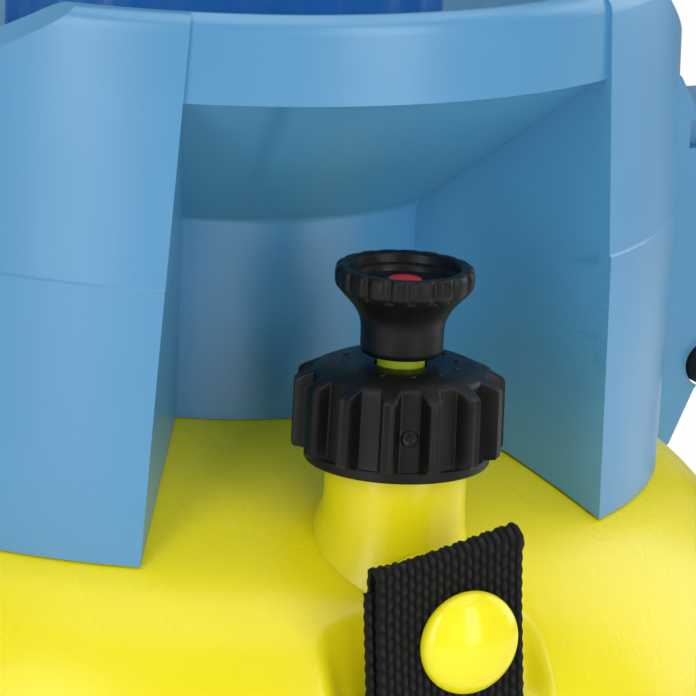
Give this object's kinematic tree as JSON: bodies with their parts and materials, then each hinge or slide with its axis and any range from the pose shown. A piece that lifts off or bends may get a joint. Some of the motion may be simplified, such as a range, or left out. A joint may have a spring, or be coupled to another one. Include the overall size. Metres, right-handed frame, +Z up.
{
  "type": "backpack sprayer",
  "caption": "Upright compression sprayer with a funnel collar, hand pump, ribbed relief valve in a front pocket, folded webbing straps, and a lance parked at its side.",
  "frame": {"origin": "on the floor under the tank's axis", "axes": "+Z up the tank, -Y towards the relief valve and straps, +X towards the parked lance"},
  "size_m": [0.274, 0.228, 0.517],
  "materials": {
    "yellow_tank": "blow-moulded polyethylene, satin gloss",
    "light_blue": "injection-moulded polypropylene, satin gloss",
    "deep_blue": "moulded polypropylene, satin gloss",
    "black_plastic": "satin moulded",
    "black_rubber": "matt",
    "black_webbing": "woven polypropylene",
    "lime_plastic": "satin moulded",
    "red_plastic": "satin moulded",
    "yellow_button": "polished moulded",
    "steel": "drawn wire and pin",
    "grey_plastic": "extruded"
  },
  "bodies": {
    "sprayer": {"tank": "yellow_tank", "base_foot": "light_blue", "funnel_collar": "light_blue", "rest_peg_right": "black_rubber", "rest_peg_left": "black_rubber", "strap_webbing": "black_webbing", "strap_pin": "yellow_button", "buckle_right": "black_plastic", "buckle_left": "black_plastic", "strap_tail_right": "black_webbing", "strap_tail_left": "black_webbing", "outlet_gasket": "black_rubber", "outlet_fitting": "black_plastic"},
    "pump": {"pump_barrel": "deep_blue", "foot_valve": "black_rubber", "rod_guide": "black_plastic", "mouth_gasket": "black_rubber"},
    "cap_nut": {"pump_cap_nut": "deep_blue"},
    "plunger": {"pump_rod": "grey_plastic", "piston": "black_plastic", "piston_seal": "black_rubber"},
    "handle": {"pump_handle": "black_plastic"},
    "relief_cap": {"valve_cap": "black_plastic", "valve_gasket": "black_rubber", "valve_spring": "steel"},
    "relief_knob": {"valve_knob": "black_plastic", "valve_stem": "lime_plastic", "valve_seal": "black_rubber"},
    "indicator": {"indicator_pin": "red_plastic"},
    "hose_nut": {"outlet_nut": "black_plastic"},
    "lance": {"lance_grip": "black_plastic", "lance_tube": "black_plastic", "nozzle_body": "black_plastic", "trigger_pin": "steel"},
    "tube_nut": {"lance_nut": "black_plastic"},
    "trigger_lever": {"trigger": "black_plastic"},
    "trigger_catch": {"trigger_lock": "red_plastic"},
    "nozzle": {"nozzle_cap": "lime_plastic"}
  },
  "joints": [
    {"name": "pump_lift_out", "type": "slide", "parent": "sprayer", "child": "pump", "axis": [0, 0, 1], "range_m": [0, 0.38]},
    {"name": "cap_nut_turn", "type": "hinge", "parent": "pump", "child": "cap_nut", "pos_m": [0, 0, 0.45], "axis": [0, 0, 1], "range_deg": [0, 720]},
    {"name": "pump_stroke", "type": "slide", "parent": "pump", "child": "plunger", "axis": [0, 0, 1], "range_m": [0, 0.28]},
    {"name": "handle_turn", "type": "hinge", "parent": "plunger", "child": "handle", "pos_m": [0, 0, 0.5], "axis": [0, 0, 1], "range_deg": [0, 90]},
    {"name": "relief_cap_turn", "type": "hinge", "parent": "sprayer", "child": "relief_cap", "pos_m": [0, -0.0725, 0.395], "axis": [0, 0, 1], "range_deg": [0, 720]},
    {"name": "relief_pull", "type": "slide", "parent": "relief_cap", "child": "relief_knob", "axis": [0, 0, 1], "range_m": [0, 0.005], "stiffness_N_per_m": 300, "springref_m": -0.005, "deforming": ["valve_spring"]},
    {"name": "indicator_rise", "type": "slide", "parent": "relief_knob", "child": "indicator", "axis": [0, 0, 1], "range_m": [0, 0.0025], "stiffness_N_per_m": 60, "springref_m": -0.002},
    {"name": "hose_nut_turn", "type": "hinge", "parent": "sprayer", "child": "hose_nut", "pos_m": [-0.11, 0, 0.066], "axis": [-1, 0, 0], "range_deg": [0, 720]},
    {"name": "lance_unclip", "type": "slide", "parent": "sprayer", "child": "lance", "axis": [1, 0, 0], "range_m": [0, 0.15]},
    {"name": "tube_nut_turn", "type": "hinge", "parent": "lance", "child": "tube_nut", "pos_m": [0.118, 0, 0.155], "axis": [0, 0, 1], "range_deg": [0, 720]},
    {"name": "trigger_squeeze", "type": "hinge", "parent": "lance", "child": "trigger_lever", "pos_m": [0.118, -0.0072, 0.122], "axis": [1, 0, 0], "range_deg": [0, 10], "stiffness_Nm_per_rad": 3, "springref_deg": -2.86},
    {"name": "trigger_catch_slide", "type": "slide", "parent": "lance", "child": "trigger_catch", "axis": [0, 0, 1], "range_m": [0, 0.006]},
    {"name": "nozzle_turn", "type": "hinge", "parent": "lance", "child": "nozzle", "pos_m": [0.118, 0, 0.488], "axis": [0, 0, 1], "range_deg": [0, 540]}
  ]
}
